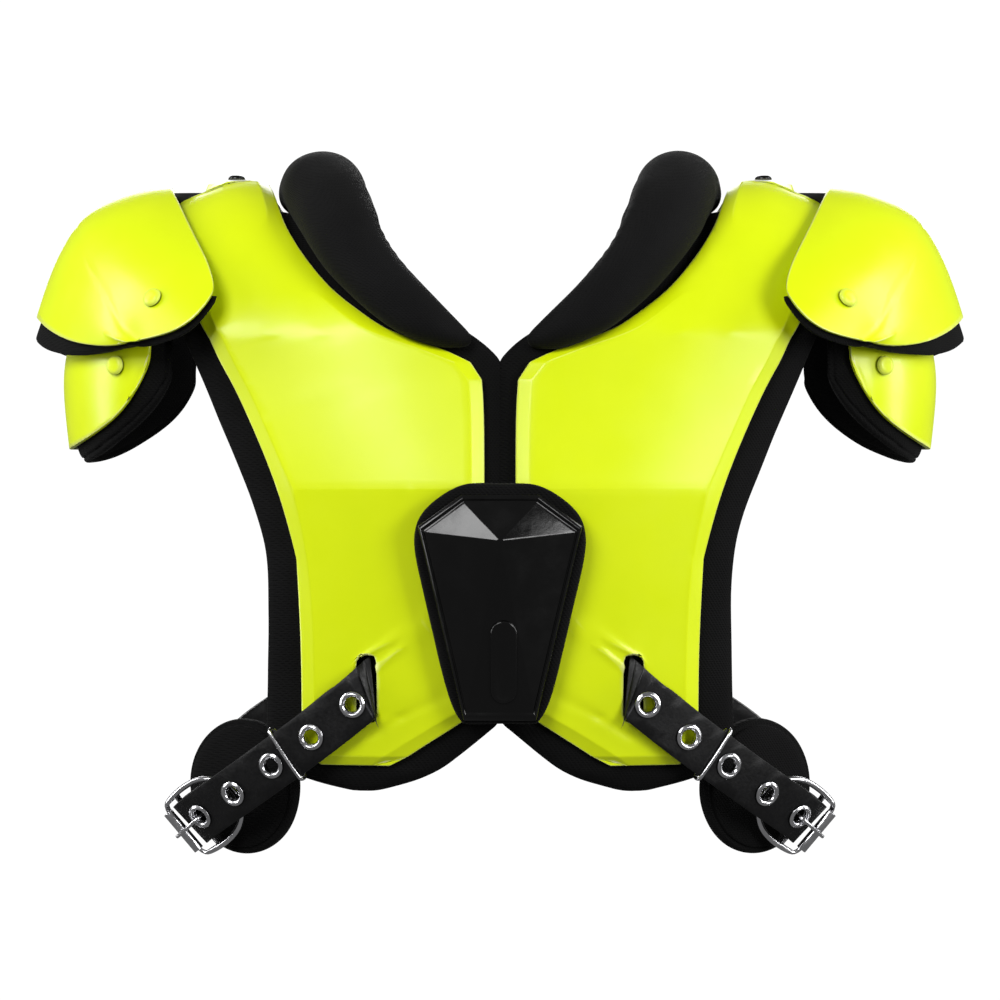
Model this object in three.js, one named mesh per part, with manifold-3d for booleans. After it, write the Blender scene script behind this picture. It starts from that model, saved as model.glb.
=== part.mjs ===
// A pair of youth football shoulder pads, in millimetres.
// +Z is up, the wearer looks along -Y and +X is the wearer's left. The origin lies midway between
// the shoulders, level with the underside of the two shoulder arches, where the pads sit on the body.
// Everything is drawn for the wearer's left front and mirrored to the other side and to the back.
import * as THREE from "three";
import { mergeVertices } from "three/addons/utils/BufferGeometryUtils.js";
import Module from "manifold-3d";

const wasm = await Module();
wasm.setup();

// Vest: the plates lie on a foam liner, whose outer face is the surface that they share.
const VEST_HALF = 172; // middle of the body to the plates' outer edge at the shoulder
const VEST_DROP = 276; // top of the liner's arch down to the plates' hem
const VEST_DEPTH = 110; // middle of the body forward to the lower bend
const LINER_THICK = 13;
const ARCH_LINER_THICK = 8.5;
const LINER_ROUND = 4.5; // width of the liner's rounded edge
const LINER_PINCH = 3; // how much that edge thins on each face
const PLATE_THICK = 2.5;
const PLATE_RISE = 2.6; // raised field above the edge band
const BAND_WIDTH = 6.5; // sloping band round a plate's edge
const ARCH_RISE = 3.6; // raised neck band of the front plate, at the crest
const ARCH_RISE_BACK = 0.6; // the back plate's tongue, which slides under the front plate
const SEAM_GAP = 0.4; // between the two halves
const SEAT = 0.35; // between pieces that touch
const PLATE_SEAT = 0.65; // between a plate and its liner

// Neck rolls
const ROLL_RADIUS = 18.9;
const ROLL_SEAT = 0.7;

// Shoulder flaps and the cups below them
const FLAP_HALF = 1.349 * VEST_HALF; // middle of the body to the flap's tip
const FLAP_DEPTH = 0.855 * VEST_DEPTH;
const FLAP_DROP = 0.261 * VEST_DROP;
const FLAP_THICK = 2.5;
const FLAP_BULGE = 5;
const FLAP_ROUND = 0.17; // how far the flap's ends bow out, as a share of its half length
const FLAP_PAD_THICK = 5;
const FLAP_PAD_START = 0.42; // share of the way across where the pad begins, outside the arch
const TAB_SPAN = 0.09; // half the length of the tab below the flap
const TAB_START = 0.858 * VEST_HALF;
const CUP_CENTRE = 0.901 * VEST_HALF;
const CUP_WIDE = 0.377 * VEST_HALF;
const CUP_DEPTH = 0.618 * VEST_DEPTH;
const CUP_DROP = 0.424 * VEST_DROP;
const CUP_THICK = 2.5;
const CUP_PAD_THICK = 8;

// Breast piece and the back panel that matches it
const BREAST_HALF = 40.5;
const BREAST_TOP = 0.4873 * VEST_DROP; // below the origin
const BREAST_HEIGHT = 0.4058 * VEST_DROP;
const BREAST_PAD_THICK = 5;
const BREAST_RIM = 3;
const BREAST_PEAK = 12; // apex above the rim
const BRIDGE_HALF = 32;
const BRIDGE_THICK = 3;

// Straps and their fittings
const STRAP_WIDTH = 24;
const STRAP_THICK = 1.8;
const STRAP_ACROSS = 0.895 * VEST_HALF;
const STRAP_FORWARD = 0.882 * VEST_DEPTH;
const STRAP_FALL = 1.094 * VEST_DROP;
const EYELET_COUNT = 5;
const EYELET_RADIUS = 6.3;
const EYELET_BORE = 3.3;
const EYELET_WALL = 0.5;
const EYELET_FLANGE = 1;
const EYELET_HOLE = EYELET_BORE + EYELET_WALL + 0.7; // in the strap
const SLOT_WIDTH = 9.5;
const SLOT_HEIGHT = 33;
const SLOT_DEPTH = 1.6; // how far the strap dips at the slot
const KEEPER_WIRE = 1.1;
const KEEPER_AT = 0.52; // share of the strap's path
const BUCKLE_WIRE = 1.8;
const HEEL_WIRE = 1.5; // bar inside the strap's fold
const ROLLER_RADIUS = 2.7;
const PRONG_WIRE = 1.1;
const SIDE_PAD = { x: 0.738 * VEST_HALF, y: -0.436 * VEST_DEPTH, z: -1.018 * VEST_DROP, turn: 32 };
const SIDE_PAD_RADIUS = 31;
const SIDE_PAD_THICK = 10.8;
const RIVET_RADIUS = 4.6;
const RIVET_HEIGHT = 2;

const radians = (degrees) => (degrees * Math.PI) / 180;
const mix = (a, b, t) => a + (b - a) * t;
const clamp = (value, low, high) => Math.min(high, Math.max(low, value));
const smoothstep = (value) => {
  const t = clamp(value, 0, 1);
  return t * t * (3 - 2 * t);
};
const arc = (t) => 4 * Math.max(0, t * (1 - t)); // 0 at both ends and 1 in the middle
const steps = (from, to, count) => Array.from({ length: count + 1 }, (_, i) => mix(from, to, i / count));

// A column of a table, joined by straight lines between its rows.
function read(table, column, at) {
  const last = table.length - 1;
  if (at <= table[0].at) return table[0][column];
  if (at >= table[last].at) return table[last][column];
  const i = table.findIndex((row) => row.at >= at);
  const [low, high] = [table[i - 1], table[i]];
  return mix(low[column], high[column], (at - low.at) / (high.at - low.at));
}

// The vest's side profile is the arch's curve, then two flat panels. Along it, `at` is 0 at the
// crest, 1 at the upper bend, 2 at the lower bend and 3 at the plates' hem; behind the crest it is
// negative. out is a share of VEST_DEPTH and down a share of VEST_DROP.
const ARCH_CURVE = [
  { out: 0, down: 0 },
  { out: 0.345, down: 0 },
  { out: 0.675, down: 0.12 },
  { out: 0.864, down: 0.252 },
];
const PANELS = [
  { at: 1, out: 0.864, down: 0.252 },
  { at: 2, out: 1, down: 0.527 },
  { at: 3, out: 0.837, down: 1 },
];

// Each cross-section of the vest bows away from its spine. spine is a share of VEST_HALF; bow is
// the share of VEST_DEPTH that the section falls back one VEST_HALF away from the spine.
const SECTIONS = [
  { at: 0, spine: 0.756, bow: 2.15 },
  { at: 0.25, spine: 0.7, bow: 1.34 },
  { at: 0.5, spine: 0.523, bow: 0.67 },
  { at: 0.75, spine: 0.29, bow: 0.4 },
  { at: 1, spine: 0.116, bow: 0.35 },
  { at: 2, spine: 0, bow: 0.48 },
  { at: 3, spine: 0, bow: 0.48 },
];

// Inner and outer edges, as shares of VEST_HALF.
const PLATE_EDGES = [
  { at: 0, inner: 0.669, outer: 0.849 },
  { at: 0.11, inner: 0.66, outer: 0.849 },
  { at: 0.12, inner: 0.657, outer: 0.994 },
  { at: 0.3, inner: 0.635, outer: 0.971 },
  { at: 0.5, inner: 0.601, outer: 0.942 },
  { at: 0.67, inner: 0.54, outer: 0.905 },
  { at: 0.83, inner: 0.462, outer: 0.863 },
  { at: 1, inner: 0.32, outer: 0.82 },
  { at: 1.06, inner: 0.246, outer: 0.802 },
  { at: 1.135, inner: 0.15, outer: 0.787 },
  { at: 1.216, inner: 0.079, outer: 0.77 },
  { at: 1.325, inner: 0.048, outer: 0.741 },
  { at: 1.52, inner: 0.041, outer: 0.698 },
  { at: 2, inner: 0.041, outer: 0.605 },
  { at: 2.25, inner: 0.041, outer: 0.558 },
  { at: 2.45, inner: 0.041, outer: 0.547 },
  { at: 2.782, inner: 0.041, outer: 0.547 },
  { at: 2.842, inner: 0.106, outer: 0.547 },
  { at: 2.925, inner: 0.206, outer: 0.547 },
  { at: 2.97, inner: 0.256, outer: 0.529 },
  { at: 3, inner: 0.302, outer: 0.494 },
];
const LINER_EDGES = [
  { at: 0, inner: 0.453, outer: 1.035 },
  { at: 0.32, inner: 0.413, outer: 1.012 },
  { at: 0.51, inner: 0.384, outer: 0.988 },
  { at: 0.655, inner: 0.337, outer: 0.965 },
  { at: 0.785, inner: 0.273, outer: 0.936 },
  { at: 0.9, inner: 0.203, outer: 0.907 },
  { at: 1, inner: 0.116, outer: 0.881 },
  { at: 1.063, inner: 0.07, outer: 0.869 },
  { at: 1.14, inner: 0.029, outer: 0.855 },
  { at: 1.216, inner: 0, outer: 0.84 },
  { at: 1.67, inner: 0, outer: 0.752 },
  { at: 2, inner: 0, outer: 0.69 },
  { at: 2.155, inner: 0, outer: 0.649 },
  { at: 2.32, inner: 0, outer: 0.631 },
  { at: 2.6, inner: 0, outer: 0.64 },
  { at: 2.835, inner: 0, outer: 0.642 },
  { at: 2.876, inner: 0.038, outer: 0.642 },
  { at: 2.96, inner: 0.116, outer: 0.634 },
  { at: 3.01, inner: 0.16, outer: 0.605 },
  { at: 3.05, inner: 0.227, outer: 0.547 },
  { at: 3.09, inner: 0.331, outer: 0.419 },
];

// The profile's point at a station, as { y, z } with -y forward.
function profileAt(at) {
  const ahead = Math.abs(at);
  const row = { out: 0, down: 0 };
  if (ahead <= 1) {
    const rest = 1 - ahead;
    const weights = [rest ** 3, 3 * rest ** 2 * ahead, 3 * rest * ahead ** 2, ahead ** 3];
    for (const [i, point] of ARCH_CURVE.entries()) {
      row.out += point.out * weights[i];
      row.down += point.down * weights[i];
    }
  } else {
    const [from, to] = ahead <= 2 ? [PANELS[0], PANELS[1]] : [PANELS[1], PANELS[2]];
    row.out = mix(from.out, to.out, ahead - from.at);
    row.down = mix(from.down, to.down, ahead - from.at);
  }
  return { y: -Math.sign(at) * VEST_DEPTH * row.out, z: ARCH_LINER_THICK - VEST_DROP * row.down };
}

// The station on the flat panels whose profile lies at this height.
function stationAt(z) {
  const down = (ARCH_LINER_THICK - z) / VEST_DROP;
  const [top, bend, hem] = PANELS;
  if (down < bend.down) return 1 + (down - top.down) / (bend.down - top.down);
  return 2 + (down - bend.down) / (hem.down - bend.down);
}

// How far the liner's face has bowed back at x.
function bowAt(x, at) {
  const away = x / VEST_HALF - read(SECTIONS, "spine", Math.abs(at));
  return read(SECTIONS, "bow", Math.abs(at)) * VEST_DEPTH * away * away;
}

// A point of the vest: x across, a station, and a height above the liner's face. Heights are
// measured upward at the crest, swinging round to forward at the upper bend and below it.
function vestPoint(x, at, height) {
  const { y, z } = profileAt(at);
  const angle = radians(90) * clamp(1 - Math.abs(at), 0, 1);
  const h = height - bowAt(x, at);
  return new THREE.Vector3(x, y - Math.sign(at) * Math.cos(angle) * h, z + Math.sin(angle) * h);
}

// Solids

function geometryOf(points, triangles) {
  const geometry = new THREE.BufferGeometry();
  const flat = points.flatMap((point) => point.toArray());
  geometry.setAttribute("position", new THREE.Float32BufferAttribute(flat, 3));
  const volume = triangles.reduce((sum, [a, b, c]) => {
    return sum + points[a].dot(new THREE.Vector3().crossVectors(points[b], points[c]));
  }, 0);
  geometry.setIndex(triangles.flatMap(([a, b, c]) => (volume < 0 ? [a, c, b] : [a, b, c])));
  return geometry;
}

// A closed solid between two grids of points of one size.
function slab(outer, inner) {
  const rows = outer.length;
  const columns = outer[0].length;
  const points = [...outer.flat(), ...inner.flat()];
  const front = (i, j) => i * columns + j;
  const back = (i, j) => rows * columns + i * columns + j;
  const triangles = [];
  const quad = (a, b, c, d) => triangles.push([a, b, c], [a, c, d]);
  for (let i = 0; i < rows - 1; i++) {
    for (let j = 0; j < columns - 1; j++) {
      quad(front(i, j), front(i, j + 1), front(i + 1, j + 1), front(i + 1, j));
      quad(back(i, j), back(i + 1, j), back(i + 1, j + 1), back(i, j + 1));
    }
    quad(front(i, 0), front(i + 1, 0), back(i + 1, 0), back(i, 0));
    quad(front(i, columns - 1), back(i, columns - 1), back(i + 1, columns - 1), front(i + 1, columns - 1));
  }
  for (let j = 0; j < columns - 1; j++) {
    quad(front(0, j), back(0, j), back(0, j + 1), front(0, j + 1));
    quad(front(rows - 1, j), front(rows - 1, j + 1), back(rows - 1, j + 1), back(rows - 1, j));
  }
  return geometryOf(points, triangles);
}

// A solid through rings of points, with flat ends, or joined end to start.
function tube(rings, joined = false) {
  const sides = rings[0].length;
  const points = rings.flat();
  const triangles = [];
  const spans = joined ? rings.length : rings.length - 1;
  for (let i = 0; i < spans; i++) {
    const next = ((i + 1) % rings.length) * sides;
    for (let j = 0; j < sides; j++) {
      const [a, b] = [i * sides + j, i * sides + ((j + 1) % sides)];
      const [c, d] = [next + ((j + 1) % sides), next + j];
      triangles.push([a, b, c], [a, c, d]);
    }
  }
  const end = (rings.length - 1) * sides;
  for (let j = 1; j < sides - 1 && !joined; j++) {
    triangles.push([0, j + 1, j], [end, end + j, end + j + 1]);
  }
  return geometryOf(points, triangles);
}

// A round wire along a path; side is any direction that is never along the path.
function wire(path, side, radius, sides, joined = false) {
  const rings = path.map((point, i) => {
    const before = path[i - 1] ?? (joined ? path[path.length - 1] : point);
    const after = path[i + 1] ?? (joined ? path[0] : point);
    const along = after.clone().sub(before).normalize();
    const high = side.clone().projectOnPlane(along).normalize();
    const wide = new THREE.Vector3().crossVectors(along, high);
    return Array.from({ length: sides }, (_, j) => {
      const angle = (2 * Math.PI * (j + 0.5)) / sides;
      return point
        .clone()
        .addScaledVector(wide, radius * Math.cos(angle))
        .addScaledVector(high, radius * Math.sin(angle));
    });
  });
  return tube(rings, joined);
}

// A frame at a point: along, wide and out are unit directions.
const frameOf = (point, along, wide) => {
  const a = along.clone().normalize();
  const w = wide.clone().projectOnPlane(a).normalize();
  return { point, along: a, wide: w, out: new THREE.Vector3().crossVectors(a, w) };
};
const inFrame = (frame, a, w, o) =>
  frame.point
    .clone()
    .addScaledVector(frame.along, a)
    .addScaledVector(frame.wide, w)
    .addScaledVector(frame.out, o);

// Rings round the frame's out direction: profile rows give a radius and a height. A profile that
// closes on itself gives a ring-shaped solid.
function turned(frame, profile, sides, closed = false, stretch = 1) {
  const rings = profile.map(({ radius, height }) =>
    Array.from({ length: sides }, (_, j) => {
      const angle = (2 * Math.PI * j) / sides;
      return inFrame(frame, radius * Math.cos(angle), radius * stretch * Math.sin(angle), height);
    }),
  );
  return tube(rings, closed);
}

function toManifold(geometry) {
  const bare = geometry.index ? geometry.toNonIndexed() : geometry;
  const plain = new THREE.BufferGeometry().setAttribute("position", bare.getAttribute("position"));
  const merged = mergeVertices(plain, 1e-4);
  return new wasm.Manifold(
    new wasm.Mesh({
      numProp: 3,
      vertProperties: new Float32Array(merged.attributes.position.array),
      triVerts: new Uint32Array(merged.index.array),
    }),
  );
}

function geometryFrom(manifold) {
  const mesh = manifold.getMesh();
  const result = new THREE.BufferGeometry();
  result.setAttribute("position", new THREE.BufferAttribute(new Float32Array(mesh.vertProperties), 3));
  result.setIndex(new THREE.BufferAttribute(new Uint32Array(mesh.triVerts), 1));
  return result;
}

// What is left of a solid once the others are cut from it.
function cut(geometry, tools) {
  return geometryFrom(tools.reduce((rest, tool) => rest.subtract(toManifold(tool)), toManifold(geometry)));
}

function joined(first, second) {
  return geometryFrom(toManifold(first).add(toManifold(second)));
}

// Vest pieces

// A layer of the vest between two heights, which depend on x, the station and the distance to the
// nearest side edge.
function vestLayer(edges, stations, columns, top, bottom) {
  const grid = (height) =>
    stations.map((at) => {
      const inner = read(edges, "inner", at) * VEST_HALF + SEAM_GAP / 2;
      const outer = read(edges, "outer", at) * VEST_HALF;
      return columns(inner, outer, at).map((x) => {
        return vestPoint(x, at, height(x, at, Math.min(x - inner, outer - x)));
      });
    });
  return slab(grid(top), grid(bottom));
}

// Columns with a strip of equal width along each side edge, measured square to it, then even steps.
function edgedColumns(edges, strip, fieldSteps) {
  const STEP = 0.01;
  const slant = (column, at) => {
    const run = (read(edges, column, at + STEP) - read(edges, column, at - STEP)) * VEST_HALF;
    const rise = 2 * STEP * (at < 1 ? VEST_DEPTH : VEST_DROP / 2);
    return Math.min(2.2, Math.hypot(1, run / rise));
  };
  return (inner, outer, at) => {
    const third = (outer - inner) / 3;
    const low = inner + Math.min(third, strip * slant("inner", at));
    const high = outer - Math.min(third, strip * slant("outer", at));
    return [inner, ...steps(low, high, fieldSteps), outer];
  };
}

// The raised neck band of a plate is full at the crest and runs out on the chest. Its edge is a
// share of VEST_HALF.
const NECK_BAND = { outer: 0.849, inner: 0.74, end: 0.7 };
function neckBandRise(x, at, rise) {
  const edge = mix(NECK_BAND.outer, NECK_BAND.inner, clamp(at / NECK_BAND.end, 0, 1)) * VEST_HALF;
  const across = at < 0.115 ? 1 : clamp((edge + 2 - x) / 4, 0, 1);
  return rise * across * (1 - smoothstep(at / NECK_BAND.end));
}

const LAP = 0.12; // stations that the front plate's tongue reaches past the crest
const PLATE_STATIONS = [
  0, 0.11, 0.12, 0.22, 0.35, 0.5, 0.67, 0.83, 0.92, 1, 1.06, 1.135, 1.216, 1.325, 1.52, 2, 2.25, 2.55,
  2.782, 2.842, 2.925, 2.965, 3,
];
const BACK_PLATE_STATIONS = [
  0, 0.11, 0.12, 0.35, 0.5, 0.67, 0.83, 1, 1.135, 1.325, 2, 2.782, 2.925, 2.965, 3,
];
const HEM_BAND = 0.035; // stations over which the field rises from the hem
const PLATE_TOP = PLATE_SEAT + PLATE_THICK + PLATE_RISE;

function plate(stations, neckRise) {
  const top = (x, at, inset) => {
    const field = at <= 0 ? 1 : Math.min(clamp(inset, 0, 1), clamp((3 - at) / HEM_BAND, 0, 1));
    return PLATE_SEAT + PLATE_THICK + PLATE_RISE * field + neckBandRise(x, at, neckRise);
  };
  const bottom = (x, at, inset) => top(x, at, inset) - PLATE_THICK;
  return vestLayer(PLATE_EDGES, stations, edgedColumns(PLATE_EDGES, BAND_WIDTH, 3), top, bottom);
}

// The vertical slot that the strap comes through.
function strapSlot(at) {
  const high = vestPoint(at.x, stationAt(at.z), 0);
  const shape = new THREE.Shape();
  const [w, h, r] = [SLOT_WIDTH / 2, SLOT_HEIGHT / 2, SLOT_WIDTH / 2 - 0.5];
  shape.moveTo(-w, -h + r);
  shape.lineTo(-w, h - r);
  shape.quadraticCurveTo(-w, h, -w + r, h);
  shape.lineTo(w - r, h);
  shape.quadraticCurveTo(w, h, w, h - r);
  shape.lineTo(w, -h + r);
  shape.quadraticCurveTo(w, -h, w - r, -h);
  shape.lineTo(-w + r, -h);
  shape.quadraticCurveTo(-w, -h, -w, -h + r);
  const deep = 6 * PLATE_THICK;
  const options = { depth: 2 * deep, bevelEnabled: false, curveSegments: 2 };
  const geometry = new THREE.ExtrudeGeometry(shape, options);
  geometry.translate(0, 0, -deep);
  geometry.rotateX(radians(90));
  geometry.translate(at.x, high.y - PLATE_TOP, at.z);
  return geometry;
}

const LINER_START = 0.0035; // the two liners meet at the crest
const LINER_STATIONS = [
  LINER_START, 0.16, 0.32, 0.51, 0.655, 0.785, 0.9, 1, 1.063, 1.14, 1.216, 1.67, 2, 2.155, 2.32, 2.835,
  2.876, 2.96, 3.01, 3.05, 3.09,
];
const BACK_LINER_STATIONS = [
  LINER_START, 0.32, 0.51, 0.655, 0.785, 1, 1.216, 2, 2.155, 2.32, 2.835, 2.96, 3.05, 3.09,
];
function liner(stations) {
  const hem = stations[stations.length - 1];
  const pinch = (at, inset) => (inset < 0.01 || at === hem ? LINER_PINCH : 0);
  const thick = (at) => mix(ARCH_LINER_THICK, LINER_THICK, smoothstep(at));
  const top = (x, at, inset) => -pinch(at, inset);
  const bottom = (x, at, inset) => pinch(at, inset) - thick(at);
  return vestLayer(LINER_EDGES, stations, edgedColumns(LINER_EDGES, LINER_ROUND, 2), top, bottom);
}

// The neck roll lies between the liner's inner edge and the plate. centre and wide are shares of
// VEST_HALF; high is the share of ROLL_RADIUS that half the section's height makes up.
const ROLL = [
  { at: 0, centre: 0.523, wide: 0.116, high: 1 },
  { at: 0.32, centre: 0.5, wide: 0.113, high: 0.97 },
  { at: 0.51, centre: 0.467, wide: 0.107, high: 0.9 },
  { at: 0.655, centre: 0.42, wide: 0.102, high: 0.8 },
  { at: 0.785, centre: 0.356, wide: 0.1, high: 0.68 },
  { at: 0.9, centre: 0.278, wide: 0.1, high: 0.56 },
  { at: 1, centre: 0.2, wide: 0.087, high: 0.44 },
  { at: 1.063, centre: 0.152, wide: 0.068, high: 0.33 },
  { at: 1.1, centre: 0.125, wide: 0.04, high: 0.2 },
];
const ROLL_STATIONS = [0.16, 0.32, 0.51, 0.655, 0.785, 0.9, 1, 1.063, 1.1];
const ROLL_LIFT = 0.715; // share of its half height that the roll's middle lies above the liner
function neckRoll() {
  const SIDES = 10;
  const stations = [...ROLL_STATIONS.map((at) => -at).reverse(), -LINER_START, LINER_START, ...ROLL_STATIONS];
  const rings = stations.map((at) => {
    const [centre, wide] = ["centre", "wide"].map((column) => read(ROLL, column, Math.abs(at)) * VEST_HALF);
    const high = read(ROLL, "high", Math.abs(at)) * ROLL_RADIUS;
    return Array.from({ length: SIDES }, (_, j) => {
      const angle = (2 * Math.PI * (j + 0.5)) / SIDES;
      const x = centre + wide * Math.cos(angle);
      const level = high * (ROLL_LIFT + Math.sin(angle)) + bowAt(x, at) - bowAt(centre, at);
      return vestPoint(x, at, Math.max(ROLL_SEAT, level));
    });
  });
  return tube(rings);
}

// Shoulder flap

// Rows run from the crest (0) to the front corner (1). The flap is spanned by its inner edge, its
// ridge and its rim: x is a share of FLAP_HALF, y of FLAP_DEPTH forward, z of FLAP_DROP.
const FLAP_INNER = [
  { at: 0, x: 0.708, y: 0, z: 0.2 },
  { at: 0.25, x: 0.684, y: 0.319, z: 0.09 },
  { at: 0.5, x: 0.634, y: 0.66, z: -0.195 },
  { at: 0.75, x: 0.594, y: 0.87, z: -0.42 },
  { at: 1, x: 0.578, y: 0.985, z: -0.6 },
];
const FLAP_RIDGE = [
  { at: 0, x: 0.914, y: 0, z: -0.055 },
  { at: 0.25, x: 0.892, y: 0.372, z: -0.21 },
  { at: 0.5, x: 0.819, y: 0.691, z: -0.583 },
  { at: 0.75, x: 0.776, y: 0.84, z: -0.833 },
  { at: 1, x: 0.741, y: 0.904, z: -0.924 },
];
const FLAP_RIM = [
  { at: 0, x: 1, y: 0, z: -0.694 },
  { at: 0.25, x: 0.957, y: 0.34, z: -0.815 },
  { at: 0.5, x: 0.897, y: 0.553, z: -0.911 },
  { at: 0.75, x: 0.823, y: 0.745, z: -0.95 },
  { at: 1, x: 0.776, y: 0.851, z: -0.944 },
];

// A smooth curve through a table's rows, mirrored about its first row and read at any place.
function flapLine(table, at) {
  const row = (i) => {
    const { x, y, z } = table[Math.abs(i)];
    return new THREE.Vector3(x * FLAP_HALF, Math.sign(-i) * y * FLAP_DEPTH, z * FLAP_DROP);
  };
  const last = table.length - 1;
  const place = clamp(at, -1, 1) * last;
  const i = Math.min(Math.floor(place), last - 1);
  const t = place - i;
  const [b, c] = [row(i), row(i + 1)];
  const a = i > -last ? row(i - 1) : b.clone().multiplyScalar(2).sub(c);
  const d = i + 1 < last ? row(i + 2) : c.clone().multiplyScalar(2).sub(b);
  const point = new THREE.Vector3()
    .addScaledVector(a, 0.5 * (-t + 2 * t * t - t * t * t))
    .addScaledVector(b, 0.5 * (2 - 5 * t * t + 3 * t * t * t))
    .addScaledVector(c, 0.5 * (t + 4 * t * t - 3 * t * t * t))
    .addScaledVector(d, 0.5 * (t * t * t - t * t));
  return point.addScaledVector(c.clone().sub(b), at * last - place);
}

// A point of the flap's outer face: across is 0 at the inner edge, 0.6 on the ridge, 1 on the rim.
const RIDGE_AT = 0.6;
const FLAP_MIDDLE = new THREE.Vector3(VEST_HALF * 0.8, 0, -FLAP_DROP); // inside the shoulder
function flapPoint(at, across) {
  const low = across <= RIDGE_AT;
  const bow = low ? FLAP_ROUND * arc(across / RIDGE_AT) * at * at : 0;
  const [inner, ridge, rim] = [FLAP_INNER, FLAP_RIDGE, FLAP_RIM].map((table) => {
    return flapLine(table, at * (1 + bow));
  });
  const t = low ? across / RIDGE_AT : (across - RIDGE_AT) / (1 - RIDGE_AT);
  const [from, to] = low ? [inner, ridge] : [ridge, rim];
  const away = from.clone().add(to).multiplyScalar(0.5).sub(FLAP_MIDDLE).normalize();
  return from.lerp(to, t).addScaledVector(away, FLAP_BULGE * arc(t) * (low ? 1 : 0.5));
}

// The same point sunk toward the shoulder's middle.
function flapBelow(at, across, depth) {
  const point = flapPoint(at, across);
  return point.addScaledVector(point.clone().sub(FLAP_MIDDLE).normalize(), -depth);
}
function flapLayer(ats, acrosses, top, bottom) {
  const grid = (depth) => ats.map((at) => acrosses.map((across) => flapBelow(at, across, depth(at, across))));
  return slab(grid(top), grid(bottom));
}
const FLAP_STATIONS = [-1, -0.86, -0.7, -0.5, -0.25, -TAB_SPAN, 0, TAB_SPAN, 0.25, 0.5, 0.7, 0.86, 1];
const FLAP_ACROSS = [0, 0.1, 0.2, 0.33, 0.46, RIDGE_AT, 0.8, 1];
const flap = () => flapLayer(FLAP_STATIONS, FLAP_ACROSS, () => 0, () => FLAP_THICK);

// The pad follows the flap from outside the arch to past its rim, with a rolled edge. Toward the
// flap's ends it widens inward, so that the edge shows all round the flap's lower side.
const LIP_ACROSS = 0.1; // the lip's width as a share of the way across
const LIP_ALONG = 0.055;
function flapPad() {
  const ends = 1 + LIP_ALONG;
  const start = (at) => FLAP_PAD_START * (1 - smoothstep((Math.abs(at) - 0.75) / 0.25));
  const acrosses = (at) => [...steps(start(at), RIDGE_AT, 3), 0.8, 1, 1 + LIP_ACROSS];
  const grid = (depth) => [-ends, ...FLAP_STATIONS, ends].map((at) => acrosses(at).map((across) => {
    return flapBelow(at, across, depth(Math.abs(at) > 1 || across > 1 ? 1 : 0));
  }));
  const under = FLAP_THICK + 3 * SEAT;
  return slab(grid((edge) => under + 0.5 * edge), grid((edge) => under + FLAP_PAD_THICK - 1.2 * edge));
}

// Webbing tab that the flap hangs by: it fills the notch in the plates, from the liner up to the
// flap's underside.
function flapTab() {
  const ats = [-TAB_SPAN, 0, TAB_SPAN];
  const acrosses = [0, 0.1, 0.2];
  const top = ats.map((at) => acrosses.map((across) => flapBelow(at, across, FLAP_THICK + SEAT)));
  const base = (x, y) => vestPoint(x, -y / (ARCH_CURVE[1].out * 3 * VEST_DEPTH), 1.5 * SEAT);
  for (const row of top) row.unshift(row[0].clone().setX(TAB_START));
  return slab(top, top.map((row) => row.map(({ x, y }) => base(x, y))));
}

// Cup

// wide is the share of the cup's plan that it fills at a share of CUP_DROP below the origin.
const CUP_WALL = [
  { at: 0.08, wide: 0.46 },
  { at: 0.12, wide: 0.514 },
  { at: 0.22, wide: 0.64 },
  { at: 0.36, wide: 0.79 },
  { at: 0.5, wide: 0.93 },
  { at: 0.62, wide: 0.985 },
  { at: 0.72, wide: 1 },
  { at: 1.05, wide: 0.93 },
];
// Rows by angle from straight out, in degrees. top and low are shares of CUP_DROP.
const CUP_EDGES = [
  { at: 0, top: 0.36, low: 1 },
  { at: 17, top: 0.36, low: 1 },
  { at: 41, top: 0.38, low: 0.957 },
  { at: 60, top: 0.41, low: 0.88 },
  { at: 70, top: 0.43, low: 0.79 },
  { at: 78, top: 0.44, low: 0.66 },
];
const CUP_PAD_EDGES = [
  { at: 0, top: 0.12, low: 1.045 },
  { at: 20, top: 0.22, low: 1.04 },
  { at: 41, top: 0.28, low: 1.01 },
  { at: 60, top: 0.4, low: 0.94 },
  { at: 78, top: 0.48, low: 0.83 },
  { at: 86, top: 0.52, low: 0.7 },
];
function cupPoint(angle, down, inset) {
  const wide = read(CUP_WALL, "wide", down);
  const turn = radians(angle);
  const x = CUP_CENTRE + (CUP_WIDE * wide - inset) * Math.cos(turn);
  const y = (CUP_DEPTH * wide - inset) * Math.sin(turn);
  return new THREE.Vector3(x, y, -CUP_DROP * down);
}
function cupLayer(edges, angles, shares, near, far) {
  const grid = (inset) =>
    angles.map((angle) => {
      const [top, low] = ["top", "low"].map((column) => read(edges, column, Math.abs(angle)));
      return shares.map((share) => cupPoint(angle, mix(top, low, share), inset(angle, share)));
    });
  return slab(grid(near), grid(far));
}
const CUP_ANGLES = [-78, -70, -60, -41, -20, 0, 20, 41, 60, 70, 78];
const cup = () => cupLayer(CUP_EDGES, CUP_ANGLES, [0, 0.25, 0.5, 0.75, 1], () => 0, () => CUP_THICK);
function cupPad() {
  const angles = [-86, -78, -60, -41, -20, 0, 20, 41, 60, 78, 86];
  const rolled = (angle, share) => (Math.abs(angle) === 86 || share === 1 || share === 0 ? 1 : 0);
  const near = (angle, share) => CUP_THICK + 3 * SEAT + 2 * rolled(angle, share);
  const far = (angle, share) => CUP_THICK + 3 * SEAT + CUP_PAD_THICK - 2 * rolled(angle, share);
  return cupLayer(CUP_PAD_EDGES, angles, [0, 0.12, 0.35, 0.65, 0.93, 1], near, far);
}

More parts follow.
